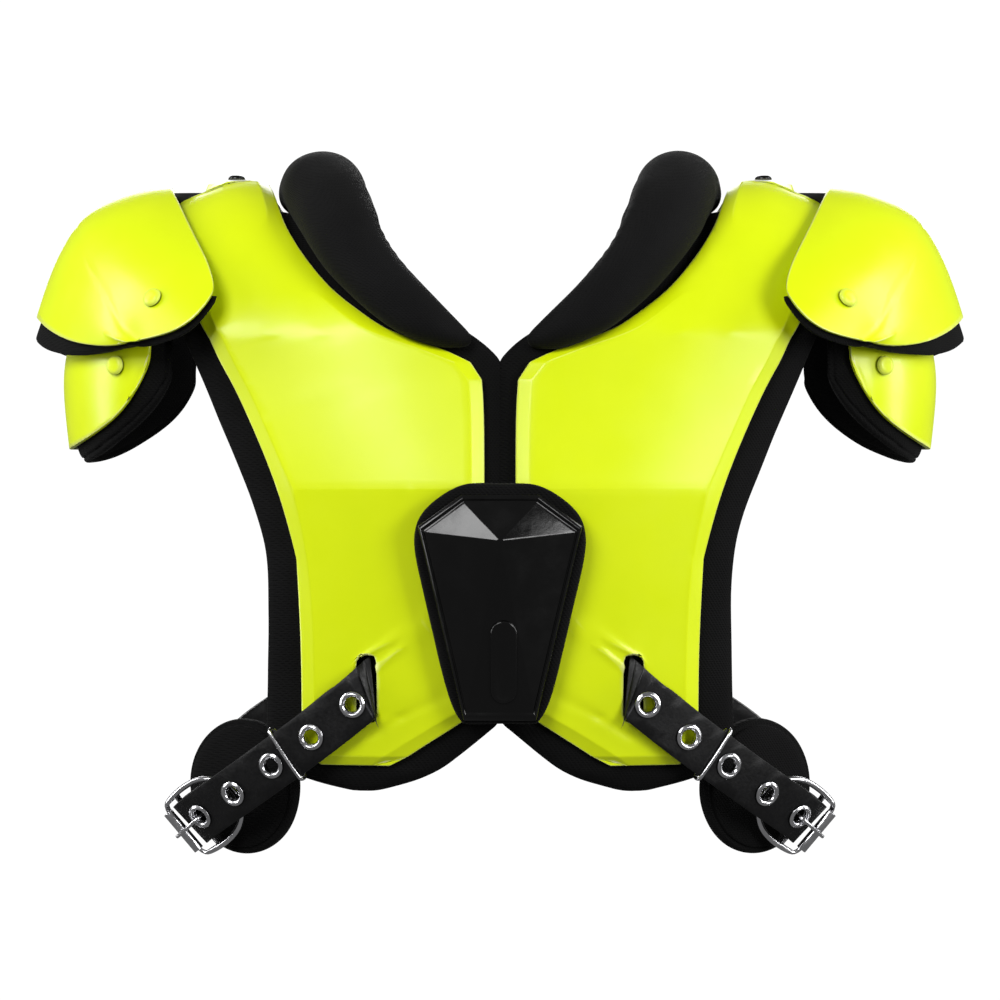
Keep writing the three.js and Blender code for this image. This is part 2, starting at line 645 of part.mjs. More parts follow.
// Breast piece: half is a share of BREAST_HALF, at a share of BREAST_HEIGHT below its top.
const BREAST_OUTLINE = [
  { at: 0, half: 0.45 },
  { at: 0.055, half: 0.697 },
  { at: 0.105, half: 0.857 },
  { at: 0.16, half: 0.96 },
  { at: 0.254, half: 1 },
  { at: 0.4, half: 0.914 },
  { at: 0.6, half: 0.79 },
  { at: 0.8, half: 0.664 },
  { at: 0.95, half: 0.538 },
  { at: 1, half: 0.42 },
];
// A point over the vest's flat lower panel, at a height above the liner's face in its middle.
const overPanel = (x, z, height) => {
  const at = stationAt(z);
  return vestPoint(x, at, height + bowAt(x, at));
};
const BREAST_SEAT = PLATE_TOP + 3 * SEAT;
function breastPad() {
  const grid = (lift) =>
    BREAST_OUTLINE.map(({ at, half }) => {
      const z = -BREAST_TOP - at * BREAST_HEIGHT;
      return [-1, -0.55, 0, 0.55, 1].map((side) => lift(side * half * BREAST_HALF, z));
    });
  const front = (x, z) => overPanel(x, z, BREAST_SEAT + BREAST_PAD_THICK);
  const back = (x, z) => vestPoint(x, stationAt(z), BREAST_SEAT);
  return slab(grid(front), grid(back));
}
// The hard plate's outline, as shares of BREAST_HALF and of BREAST_HEIGHT.
const BREAST_CORNERS = [
  { x: -0.445, down: 0.045 },
  { x: -0.94, down: 0.175 },
  { x: -0.42, down: 0.985 },
  { x: 0.42, down: 0.985 },
  { x: 0.94, down: 0.175 },
  { x: 0.445, down: 0.045 },
];
const BREAST_APEX = 0.235; // where the facets meet
const BREAST_MIDDLE = 0.45;

// Rings of the hard plate: each is the outline drawn in toward a middle, and raised by a share of
// BREAST_RIM. A groove separates the rim from the facets.
const BREAST_RINGS = [
  { scale: 1, height: 0 },
  { scale: 1, height: 0.5 },
  { scale: 0.96, height: 1 },
  { scale: 0.935, height: 0.7 },
  { scale: 0.91, height: 1 },
];
function breastPlate() {
  const base = BREAST_SEAT + BREAST_PAD_THICK + SEAT;
  const ring = (scale, middle, height) =>
    BREAST_CORNERS.map(({ x, down }) => {
      const z = -BREAST_TOP - mix(middle, down, scale) * BREAST_HEIGHT;
      return overPanel(x * scale * BREAST_HALF, z, base + height);
    });
  const rim = BREAST_RINGS.map(({ scale, height }) => ring(scale, BREAST_MIDDLE, height * BREAST_RIM));
  return tube([...rim, ring(0.04, BREAST_APEX, BREAST_RIM + BREAST_PEAK)]);
}
function backBridge() {
  const rows = steps(-BREAST_TOP - 0.2 * BREAST_HEIGHT, -BREAST_TOP - 0.95 * BREAST_HEIGHT, 3);
  const grid = (height) => rows.map((z) => [-1, -0.5, 0, 0.5, 1].map((side) => {
    return vestPoint(side * BRIDGE_HALF, stationAt(z), height);
  }));
  return slab(grid(BREAST_SEAT + BRIDGE_THICK), grid(BREAST_SEAT));
}

// Strap

// The middle of the strap's front ply, from the plate's slot to the fold round the buckle's heel
// bar: shares of STRAP_ACROSS, STRAP_FORWARD and STRAP_FALL. turn is where the strap faces, in
// degrees from straight ahead, and lean how far upward.
const STRAP_PATH = [
  { x: 0.386, y: 1.007, z: 0.76, turn: 12, lean: -0.14 },
  { x: 0.41, y: 1.016, z: 0.771, turn: 14, lean: -0.14 },
  { x: 0.449, y: 1.008, z: 0.788, turn: 16, lean: -0.14 },
  { x: 0.574, y: 0.937, z: 0.839, turn: 20, lean: -0.14 },
  { x: 0.703, y: 0.84, z: 0.887, turn: 24, lean: -0.2 },
  { x: 0.825, y: 0.735, z: 0.933, turn: 31, lean: -0.38 },
  { x: 0.936, y: 0.577, z: 0.974, turn: 41, lean: -0.58 },
  { x: 0.969, y: 0.51, z: 0.989, turn: 45, lean: -0.68 },
];
const STRAP_POINTS = STRAP_PATH.map(({ x, y, z }) => {
  return new THREE.Vector3(x * STRAP_ACROSS, -y * STRAP_FORWARD, -z * STRAP_FALL);
});
const FIRST_EYELET = 2; // rows of the path
const LAST_EYELET = 6;
const strapCurve = new THREE.CatmullRomCurve3(STRAP_POINTS, false, "centripetal");
function strapFrame(share) {
  const place = share * (STRAP_PATH.length - 1);
  const i = Math.min(Math.floor(place), STRAP_PATH.length - 2);
  const [turn, lean] = ["turn", "lean"].map((column) => {
    return mix(STRAP_PATH[i][column], STRAP_PATH[i + 1][column], place - i);
  });
  const along = strapCurve.getTangent(share);
  const facing = new THREE.Vector3(Math.sin(radians(turn)), -Math.cos(radians(turn)), lean);
  const wide = new THREE.Vector3().crossVectors(facing, along);
  return frameOf(strapCurve.getPoint(share), along, wide);
}
const rowShare = (row) => row / (STRAP_PATH.length - 1);
const STRAP_END = strapFrame(1);
const FOLD_RADIUS = HEEL_WIRE + PRONG_WIRE + SEAT + STRAP_THICK / 2;
const FOLD = { ...STRAP_END, point: inFrame(STRAP_END, 0, 0, -FOLD_RADIUS) };
const SPREAD_FROM = 0.8; // share of the path where the plies part to pass round the heel bar

function strap() {
  const half = STRAP_THICK / 2;
  const shares = [...steps(0, rowShare(FIRST_EYELET), 4), ...steps(rowShare(FIRST_EYELET), 1, 10).slice(1)];
  const plyGap = (share) => {
    return mix(STRAP_THICK + SEAT, 2 * FOLD_RADIUS, smoothstep((share - SPREAD_FROM) / (1 - SPREAD_FROM)));
  };
  // Near the slot the strap's end is cut parallel to the slot.
  const skew = (share) => 0.75 * (1 - smoothstep(share / rowShare(FIRST_EYELET)));
  const sink = (share) => SLOT_DEPTH * (1 - smoothstep(share / rowShare(1)));
  const front = (share, side, lift) => {
    const w = (side * STRAP_WIDTH) / 2;
    return inFrame(strapFrame(share), -skew(share) * w, w, lift - sink(share));
  };
  const rows = [];
  for (const share of shares) {
    rows.push([-1, 1].map((side) => [front(share, side, half), front(share, side, -half)]));
  }
  for (const angle of [36, 72, 108, 144]) {
    const [a, o] = [Math.sin(radians(angle)), Math.cos(radians(angle))];
    const [far, near] = [FOLD_RADIUS + half, FOLD_RADIUS - half];
    rows.push([-1, 1].map((side) => {
      const w = (side * STRAP_WIDTH) / 2;
      return [inFrame(FOLD, a * far, w, o * far), inFrame(FOLD, a * near, w, o * near)];
    }));
  }
  const tail = shares.filter((share) => share >= rowShare(FIRST_EYELET) * 0.72).reverse();
  for (const share of tail) {
    const tip = share === tail[tail.length - 1] ? 0.6 : 1;
    rows.push([-1, 1].map((side) => {
      const frame = strapFrame(share);
      const w = (side * tip * STRAP_WIDTH) / 2 + 1.2 * (1 - smoothstep(share / 0.7));
      const gap = plyGap(share);
      return [inFrame(frame, 0, w, -gap - half), inFrame(frame, 0, w, half - gap)];
    }));
  }
  const [outer, inner] = [0, 1].map((face) => rows.map((row) => row.map((pair) => pair[face])));
  return slab(outer, inner);
}

// Shares of the path for the eyelets, evenly spaced along it from FIRST_EYELET to LAST_EYELET.
function eyeletShares() {
  const SAMPLES = 400;
  const shares = steps(rowShare(FIRST_EYELET), rowShare(LAST_EYELET), SAMPLES);
  const points = shares.map((share) => strapCurve.getPoint(share));
  const travelled = [0];
  for (let i = 1; i <= SAMPLES; i++) travelled.push(travelled[i - 1] + points[i].distanceTo(points[i - 1]));
  return steps(0, travelled[SAMPLES], EYELET_COUNT - 1).map((distance) => {
    return shares[travelled.findIndex((far) => far >= 0.9999 * distance)];
  });
}
const EYELETS = eyeletShares().map(strapFrame);

const eyeletHole = (frame) =>
  turned(frame, [
    { radius: EYELET_HOLE, height: -4 * STRAP_THICK },
    { radius: EYELET_HOLE, height: 4 * STRAP_THICK },
  ], 8);
function eyelet(frame) {
  const face = STRAP_THICK / 2 + 1.5 * SEAT;
  return turned(frame, [
    { radius: EYELET_BORE, height: -STRAP_THICK / 2 },
    { radius: EYELET_BORE + EYELET_WALL, height: -STRAP_THICK / 2 },
    { radius: EYELET_BORE + EYELET_WALL, height: face },
    { radius: EYELET_RADIUS, height: face },
    { radius: (EYELET_RADIUS + EYELET_BORE) / 2, height: face + EYELET_FLANGE },
    { radius: EYELET_BORE, height: face },
  ], 10, true);
}

// A bent wire loop round both plies, closed below the strap.
function keeper() {
  const frame = strapFrame(KEEPER_AT);
  const half = STRAP_WIDTH / 2 + 2 * SEAT + KEEPER_WIRE;
  const top = STRAP_THICK / 2 + SEAT + KEEPER_WIRE;
  const low = -1.5 * STRAP_THICK - 2 * SEAT - KEEPER_WIRE;
  const slack = 2 * SEAT; // beside the strap's lower edge
  const outline = [
    { wide: half - KEEPER_WIRE, out: top },
    { wide: KEEPER_WIRE - half, out: top },
    { wide: -half, out: top - KEEPER_WIRE },
    { wide: -half, out: low + KEEPER_WIRE },
    { wide: KEEPER_WIRE - half, out: low },
    { wide: half - KEEPER_WIRE, out: low },
    { wide: half + slack, out: low + KEEPER_WIRE },
    { wide: half + slack, out: top - KEEPER_WIRE },
  ];
  const path = outline.map(({ wide, out }) => inFrame(frame, 0, wide, out));
  return wire(path, frame.along, KEEPER_WIRE, 6, true);
}

// The buckle hangs from the fold by its heel bar. Its roller lies outside the fold, and its round
// end reaches back beneath both plies.
const ROLLER_AWAY = 0.78 * (FOLD_RADIUS + STRAP_THICK / 2 + SEAT + ROLLER_RADIUS);
const ROLLER_PLACE = inFrame(FOLD, ROLLER_AWAY, 0, ROLLER_AWAY);
const BUCKLE_SINK = 1.5 * STRAP_THICK + 6 * SEAT + 2 * BUCKLE_WIRE; // its back, below the front ply
const BUCKLE_BACK = inFrame(strapFrame(rowShare(5.2)), 0, 0, -BUCKLE_SINK);
const BUCKLE = frameOf(ROLLER_PLACE, ROLLER_PLACE.clone().sub(BUCKLE_BACK), FOLD.wide);
const BUCKLE_LENGTH = ROLLER_PLACE.distanceTo(BUCKLE_BACK);
const BUCKLE_HALF = STRAP_WIDTH / 2 + 2 * SEAT + BUCKLE_WIRE;
// One half of the frame's outline, as shares of BUCKLE_LENGTH and BUCKLE_HALF.
const BUCKLE_OUTLINE = [
  { back: 0, wide: 1 },
  { back: 0.1, wide: 1.09 },
  { back: 0.3, wide: 1.16 },
  { back: 0.5, wide: 1.15 },
  { back: 0.68, wide: 1.06 },
  { back: 0.84, wide: 0.77 },
  { back: 0.95, wide: 0.42 },
];
const HEEL_ROW = 2; // of the outline, where the heel bar joins it
function buckleFrame() {
  const side = (sign) => BUCKLE_OUTLINE.map(({ back, wide }) => {
    return inFrame(BUCKLE, -back * BUCKLE_LENGTH, sign * wide * BUCKLE_HALF, 0);
  });
  const [right, left] = [side(1), side(-1)];
  const loop = wire([...right, BUCKLE_BACK, ...left.reverse()], BUCKLE.out, BUCKLE_WIRE, 6, true);
  const heelHalf = STRAP_WIDTH / 2 + HEEL_WIRE + 2 * SEAT;
  const [from, to] = [1, -1].map((sign) => inFrame(FOLD, 0, sign * heelHalf, 0));
  const heel = wire([right[HEEL_ROW], from, to, left[left.length - 1 - HEEL_ROW]], FOLD.along, HEEL_WIRE, 6);
  return joined(loop, heel);
}

function buckleRoller() {
  const across = { point: BUCKLE.point, along: BUCKLE.out, wide: BUCKLE.along, out: BUCKLE.wide };
  const [bore, half] = [BUCKLE_WIRE + SEAT, STRAP_WIDTH / 2 - SEAT];
  return turned(across, [
    { radius: bore, height: -half },
    { radius: ROLLER_RADIUS, height: -half },
    { radius: ROLLER_RADIUS, height: half },
    { radius: bore, height: half },
  ], 10, true);
}

// The prong starts beside the heel bar, comes out through the last eyelet and rests on the roller.
function buckleProng() {
  const hole = EYELETS[EYELET_COUNT - 1];
  const above = STRAP_THICK / 2 + 2.5 * SEAT + EYELET_FLANGE + PRONG_WIRE;
  const below = -STRAP_THICK / 2 - 2 * SEAT - PRONG_WIRE;
  const heel = FOLD.point.clone().sub(hole.point);
  const start = heel.dot(hole.along) - HEEL_WIRE - SEAT - PRONG_WIRE;
  const path = [
    inFrame(hole, start, 0, Math.min(below, heel.dot(hole.out))),
    inFrame(hole, 0.9 * EYELET_BORE, 0, below - SEAT),
    inFrame(hole, 0.2 * EYELET_BORE, 0, below + PRONG_WIRE),
    inFrame(hole, 0, 0, STRAP_THICK / 2),
    inFrame(hole, 0.6 * EYELET_BORE, 0, above + 1.4 * PRONG_WIRE),
    inFrame(BUCKLE, 0, 0, ROLLER_RADIUS + SEAT + PRONG_WIRE),
    inFrame(BUCKLE, ROLLER_RADIUS, 0, ROLLER_RADIUS + SEAT + 0.6 * PRONG_WIRE),
  ];
  return wire(path, hole.wide, PRONG_WIRE, 6);
}

// Round pad behind the buckle
function sidePadFrame() {
  const facing = new THREE.Vector3(Math.sin(radians(SIDE_PAD.turn)), -Math.cos(radians(SIDE_PAD.turn)), 0);
  const up = new THREE.Vector3(0, 0, 1);
  const across = new THREE.Vector3().crossVectors(up, facing);
  return frameOf(new THREE.Vector3(SIDE_PAD.x, SIDE_PAD.y, SIDE_PAD.z), across, up);
}
function sidePad() {
  const frame = sidePadFrame();
  const r = SIDE_PAD_RADIUS;
  const facing = Math.sign(-frame.out.y);
  return turned(frame, [
    { radius: r * 0.84, height: 0 },
    { radius: r * 0.97, height: -facing * SIDE_PAD_THICK * 0.16 },
    { radius: r, height: -facing * SIDE_PAD_THICK * 0.5 },
    { radius: r * 0.97, height: -facing * SIDE_PAD_THICK * 0.84 },
    { radius: r * 0.84, height: -facing * SIDE_PAD_THICK },
  ], 18, false, 1.03);
}

// Strap from the back plate round the wearer's side to the round pad, as shares of STRAP_ACROSS,
// STRAP_FORWARD (behind the middle) and STRAP_FALL.
const BACK_STRAP = [
  { x: 0.8, y: -0.362, z: 0.945 },
  { x: 0.885, y: -0.27, z: 0.935 },
  { x: 0.905, y: 0.25, z: 0.9 },
  { x: 0.81, y: 0.62, z: 0.86 },
  { x: 0.66, y: 0.895, z: 0.815 },
  { x: 0.5, y: 0.977, z: 0.772 },
];
function backStrap() {
  const points = BACK_STRAP.map(({ x, y, z }) => {
    return new THREE.Vector3(x * STRAP_ACROSS, y * STRAP_FORWARD, -z * STRAP_FALL);
  });
  const curve = new THREE.CatmullRomCurve3(points, false, "centripetal");
  const grid = (lift) => steps(0, 1, 8).map((share) => {
    const along = curve.getTangent(share);
    const up = new THREE.Vector3(0, 0, 1).projectOnPlane(along).normalize();
    const out = new THREE.Vector3().crossVectors(up, along).normalize();
    if (out.x < 0) out.negate();
    return [-1, 1].map((side) => {
      return curve.getPoint(share).addScaledVector(up, (side * STRAP_WIDTH) / 2).addScaledVector(out, lift);
    });
  });
  return slab(grid(STRAP_THICK / 2), grid(-STRAP_THICK / 2));
}

// Rivet heads
function rivet(frame) {
  return turned(frame, [
    { radius: RIVET_RADIUS, height: SEAT },
    { radius: RIVET_RADIUS, height: SEAT + RIVET_HEIGHT * 0.5 },
    { radius: RIVET_RADIUS * 0.7, height: SEAT + RIVET_HEIGHT },
  ], 10);
}
// The frame of a surface at (u, v), facing away from a point inside it.
function surfaceFrame(surface, u, v, step, inside) {
  const point = surface(u, v);
  const run = surface(u + step, v).sub(surface(u - step, v));
  const side = surface(u, v + step).sub(surface(u, v - step));
  const out = new THREE.Vector3().crossVectors(run, side);
  if (out.dot(point.clone().sub(inside)) < 0) out.negate();
  return frameOf(point, run, new THREE.Vector3().crossVectors(out, run));
}
const flapRivetFrame = () => surfaceFrame(flapPoint, 0.69, 0.36, 0.02, FLAP_MIDDLE);
const cupRivetFrame = () => {
  const wall = (turn, down) => cupPoint(100 * turn, down, 0);
  return surfaceFrame(wall, -0.62, 0.66, 0.02, FLAP_MIDDLE);
};
function archRivetFrame() {
  const x = VEST_HALF * 0.765;
  const along = new THREE.Vector3(1, 0, 0);
  return frameOf(vestPoint(x, 0.0001, PLATE_TOP + ARCH_RISE), along, new THREE.Vector3(0, 1, 0));
}

const material = (color, roughness, metalness = 0) =>
  new THREE.MeshStandardMaterial({ color, roughness, metalness });
const YELLOW_PLASTIC = material("#d8f20a", 0.3);
const BLACK_PLASTIC = material("#0b0b0c", 0.3);
const BLACK_FABRIC = material("#141416", 0.9);
const BLACK_VINYL = material("#101012", 0.5);
const STEEL = material("#b9bbc0", 0.25, 1);

const slotAt = { x: STRAP_POINTS[0].x + SLOT_WIDTH / 2 - 1.4, z: STRAP_POINTS[0].z - 0.04 * SLOT_HEIGHT };
const frontPlate = cut(plate([-LAP, ...PLATE_STATIONS], ARCH_RISE), [strapSlot(slotAt)]);
const strapBody = cut(strap(), EYELETS.map(eyeletHole));

const bothSides = [
  ["front_plate", frontPlate, YELLOW_PLASTIC],
  ["front_liner", liner(LINER_STATIONS), BLACK_FABRIC],
  ["neck_pad", neckRoll(), BLACK_FABRIC],
  ["epaulet", flap(), YELLOW_PLASTIC],
  ["epaulet_pad", flapPad(), BLACK_FABRIC],
  ["epaulet_tab", flapTab(), BLACK_VINYL],
  ["cup", cup(), YELLOW_PLASTIC],
  ["cup_pad", cupPad(), BLACK_FABRIC],
  ["strap", strapBody, BLACK_VINYL],
  ...EYELETS.map((frame, i) => [`strap_eyelet_${i + 1}`, eyelet(frame), STEEL]),
  ["strap_keeper", keeper(), STEEL],
  ["buckle_frame", buckleFrame(), STEEL],
  ["buckle_roller", buckleRoller(), STEEL],
  ["buckle_prong", buckleProng(), STEEL],
  ["side_pad", sidePad(), BLACK_FABRIC],
  ["back_strap", backStrap(), BLACK_VINYL],
  ["arch_rivet", rivet(archRivetFrame()), STEEL],
  ["epaulet_front_rivet", rivet(flapRivetFrame()), STEEL],
  ["cup_front_rivet", rivet(cupRivetFrame()), STEEL],
];
const bothSidesOfBack = [
  ["back_plate", plate(BACK_PLATE_STATIONS, ARCH_RISE_BACK), YELLOW_PLASTIC],
  ["back_liner", liner(BACK_LINER_STATIONS), BLACK_FABRIC],
  ["epaulet_back_rivet", rivet(flapRivetFrame()), STEEL],
  ["cup_back_rivet", rivet(cupRivetFrame()), STEEL],
];
const middle = [
  ["sternum_pad", breastPad(), BLACK_FABRIC, 1],
  ["sternum_plate", breastPlate(), BLACK_PLASTIC, 1],
  ["back_bridge", backBridge(), BLACK_PLASTIC, -1],
];

const root = new THREE.Group();
function add(name, geometry, look, across, along) {
  const mesh = new THREE.Mesh(geometry, look);
  mesh.name = name;
  mesh.scale.set(across, along, 1);
  root.add(mesh);
}
for (const [side, across] of [["left", 1], ["right", -1]]) {
  for (const [name, geometry, look] of bothSides) add(`${name}_${side}`, geometry, look, across, 1);
  for (const [name, geometry, look] of bothSidesOfBack) add(`${name}_${side}`, geometry, look, across, -1);
}
for (const [name, geometry, look, along] of middle) add(name, geometry, look, 1, along);
export default root;
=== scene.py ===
"""Looks for a pair of youth football shoulder pads: moulded plastic over padded fabric."""

import math

import bmesh
import bpy
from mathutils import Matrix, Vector, noise
from mathutils.bvhtree import BVHTree


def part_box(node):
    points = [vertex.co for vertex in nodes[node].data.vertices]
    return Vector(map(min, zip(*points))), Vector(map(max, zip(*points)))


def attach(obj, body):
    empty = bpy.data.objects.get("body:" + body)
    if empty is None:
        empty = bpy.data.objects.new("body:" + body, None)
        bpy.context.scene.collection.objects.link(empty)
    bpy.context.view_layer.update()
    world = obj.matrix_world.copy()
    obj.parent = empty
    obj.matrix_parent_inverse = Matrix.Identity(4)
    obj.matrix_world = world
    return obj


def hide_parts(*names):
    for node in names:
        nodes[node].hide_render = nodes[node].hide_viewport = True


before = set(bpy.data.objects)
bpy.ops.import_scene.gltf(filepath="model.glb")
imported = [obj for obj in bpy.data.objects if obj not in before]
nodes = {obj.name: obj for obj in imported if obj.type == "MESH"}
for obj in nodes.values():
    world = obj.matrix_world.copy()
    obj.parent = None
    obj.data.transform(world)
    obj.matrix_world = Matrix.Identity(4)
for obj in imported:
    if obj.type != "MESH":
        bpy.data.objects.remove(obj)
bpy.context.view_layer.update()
SIDES = ("left", "right")

# Lengths are in metres and angles in degrees, except where a comment says otherwise.

# Camera: level with the middle of the pads, where the photograph shows half a metre across
CAMERA_DISTANCE = 1.6
CAMERA_HEIGHT = -0.142
VIEW_WIDTH = 0.5
SENSOR_MM = 36.0

# Lights: place, width and height, and watts. They all aim at the middle of the pads.
LIGHTS = {
    "key_light": ((-0.8, -1.5, 0.75), (0.8, 0.8), 21),
    "fill_light": ((1.35, -1.35, 0.25), (0.6, 0.9), 18),
    "back_light": ((0, 1.8, 0.5), (1.4, 0.8), 16),
    "left_rim": ((-1.2, -0.1, 0.2), (0.25, 1.2), 9),
    "right_rim": ((1.2, -0.1, 0.2), (0.25, 1.2), 9),
}
SKY_STRENGTH = 0.16

# Backdrop: a sphere round everything, with its bottom flattened into a floor
BACKDROP_RADIUS = 5.0
BACKDROP_FLOOR = -1.2
BACKDROP_STRENGTH = 1.05

# The values between which nearly all of a noise pattern lies
NOISE_SPAN = (0.3, 0.7)

# Pads by node: how full they are, the crease of their edges, how far the simulation may move them
# (puff), how far they are swollen before it, and their rim: the depth past which it is the rim
# (reach), the height of its roll (bead), the depth of the groove beside it, and how far both spread,
# in rows of points
LINER = dict(
    fill=0.7,
    crease=0.5,
    puff=0.0004,
    swell=0.0007,
    rim=dict(reach=0.02, bead=0.0006, groove=0.0006, spread=3),
)
PADS = {
    "front_liner": LINER,
    "back_liner": LINER,
    "epaulet_pad": dict(
        fill=0.6,
        crease=0.3,
        puff=0.0003,
        swell=0.0002,
        rim=dict(reach=0.012, bead=0.0009, groove=0.0004, spread=3),
    ),
    "cup_pad": dict(
        fill=0.7,
        crease=0.15,
        puff=0.0005,
        swell=0.0006,
        rim=dict(reach=0.012, bead=0.0016, groove=0.0014, spread=5),
    ),
    "side_pad": dict(
        fill=0.8,
        crease=0.3,
        puff=0.0008,
        swell=0.0003,
        rim=dict(reach=0.02, bead=0.0016, groove=0.002, spread=7),
    ),
}
NECK_ROLL = dict(fill=0.9, crease=0, puff=0.002, swell=0.0026, unevenness=0.0007)
STERNUM_PAD = dict(
    fill=0.6,
    crease=0.5,
    puff=0.0004,
    unevenness=0.0002,
    rim=dict(reach=0.02, bead=0.0004, groove=0.0002, spread=3),
)

# The cloth simulation that fills a pad out, and the size of the lumps that it gets after it
PAD_PRESSURE = 4.0
PAD_FRAMES = 12
LUMP_SIZE = 0.022

# Points closer than this are one point, and edges past this angle get a bevel.
WELD = 0.00002
BEVEL_ANGLE = 9

# Bends of the plates: the angle past which one is crisp, below the foot of the arch and over it, and
# the height and reach of the level bend over the chest, which is soft
ARCH_FOOT = -0.045
CHEST_CRISP = 11
ARCH_CRISP = 24
SOFT_BEND = 40
UPPER_BEND = -0.062
UPPER_BEND_REACH = 0.008

# Moulded lines of the front plates, from (x, z) to (x, z), seen from the front, with the height or
# depth and the width of each kind
PLATE_FRONT = -0.05
RAISED_LINES = (
    ((0.032, -0.1973), (0.0656, -0.216)),
    ((0.032, -0.1995), (0.0581, -0.2208)),
)
RAISED_HEIGHT = 0.0007
RAISED_WIDTH = 0.0014
SUNK_LINES = (
    ((0.0234, -0.232), (0.0469, -0.2442)),
    ((0.0469, -0.2442), (0.0609, -0.253)),
)
SUNK_DEPTH = 0.0005
SUNK_WIDTH = 0.0022

# The ridge of a shoulder flap, from its crest to its corner; the other quarters mirror it. It is
# creased over RIDGE_FOOT, and a groove runs along all of it.
FLAP_RIDGE = (
    (0.212, 0, -0.004),
    (0.207, 0.035, -0.0151),
    (0.19, 0.065, -0.042),
    (0.18, 0.079, -0.06),
    (0.172, 0.085, -0.0665),
)
RIDGE_FOOT = -0.056
RIDGE_REACH = 0.0025
GROOVE_DEPTH = 0.0005
GROOVE_WIDTH = 0.0013

# The plaque on the breast piece: half its length, the radius of its ends, the points round each end,
# where its middle is across, how far that is over the breast piece's lowest point, and the inset of
# each ring of points with its lift off the breast piece
PLAQUE_HALF = 0.0195
PLAQUE_RADIUS = 0.0062
PLAQUE_POINTS = 12
PLAQUE_X = 0.0017
PLAQUE_RISE = 0.0275
PLAQUE_RINGS = ((0, -0.0006), (0, 0.0008), (0.0005, 0.0014), (0.0013, 0.0014), (0.002, 0.0009))

# Gathers of the neck rolls: their depth and spacing, the height that they lie round and how far they
# reach from it, how much their lines lean with x and y, and how much they wander
GATHER_DEPTH = 0.0006
GATHER_SPACING = 0.007
GATHER_HEIGHT = -0.012
GATHER_REACH = 0.03
GATHER_LEAN = (0.35, 0.3)
GATHER_WANDER = 0.002
GATHER_WANDER_SIZE = 0.012


def new_piece(name, work):
    """A new object with the mesh of a BMesh, which it frees."""
    mesh = bpy.data.meshes.new(name)
    work.to_mesh(mesh)
    work.free()
    piece = bpy.data.objects.new(name, mesh)
    bpy.context.collection.objects.link(piece)
    return piece


# Studio


def make_camera():
    data = bpy.data.cameras.new("camera")
    data.sensor_width = SENSOR_MM
    data.lens = SENSOR_MM * CAMERA_DISTANCE / VIEW_WIDTH
    camera = bpy.data.objects.new("camera", data)
    camera.location = (0, -CAMERA_DISTANCE, CAMERA_HEIGHT)
    camera.rotation_euler = (math.radians(90), 0, 0)
    bpy.context.collection.objects.link(camera)
    bpy.context.scene.camera = camera


def soft_light(name, place, size, power):
    data = bpy.data.lights.new(name, "AREA")
    data.shape = "RECTANGLE"
    data.size, data.size_y = size
    data.energy = power
    light = bpy.data.objects.new(name, data)
    light.location = place
    aim = Vector((0, 0, CAMERA_HEIGHT)) - Vector(place)
    light.rotation_euler = aim.to_track_quat("-Z", "Y").to_euler()
    bpy.context.collection.objects.link(light)


def make_studio():
    scene = bpy.context.scene
    scene.world = bpy.data.worlds.new("studio")
    scene.world.use_nodes = True
    background = scene.world.node_tree.nodes["Background"]
    background.inputs["Color"].default_value = (1, 1, 1, 1)
    background.inputs["Strength"].default_value = SKY_STRENGTH
    for name, (place, size, power) in LIGHTS.items():
        soft_light(name, place, size, power)
    scene.view_settings.view_transform = "Standard"
    scene.view_settings.look = "None"
    scene.render.film_transparent = False


def make_backdrop():
    """A white studio sweep all round, with a flat floor, which only the camera sees."""
    work = bmesh.new()
    bmesh.ops.create_icosphere(work, subdivisions=5, radius=BACKDROP_RADIUS)
    for vertex in work.verts:
        vertex.co.z = max(vertex.co.z, BACKDROP_FLOOR)
    sweep = new_piece("backdrop", work)
    sweep.visible_diffuse = False
    sweep.visible_glossy = False
    sweep.visible_transmission = False
    sweep.visible_shadow = False
    material = bpy.data.materials.new("white_backdrop")
    material.use_nodes = True
    tree = material.node_tree
    tree.nodes.clear()
    glow = tree.nodes.new("ShaderNodeEmission")
    glow.inputs["Strength"].default_value = BACKDROP_STRENGTH
    output = tree.nodes.new("ShaderNodeOutputMaterial")
    tree.links.new(glow.outputs["Emission"], output.inputs["Surface"])
    sweep.data.materials.append(material)


# Materials


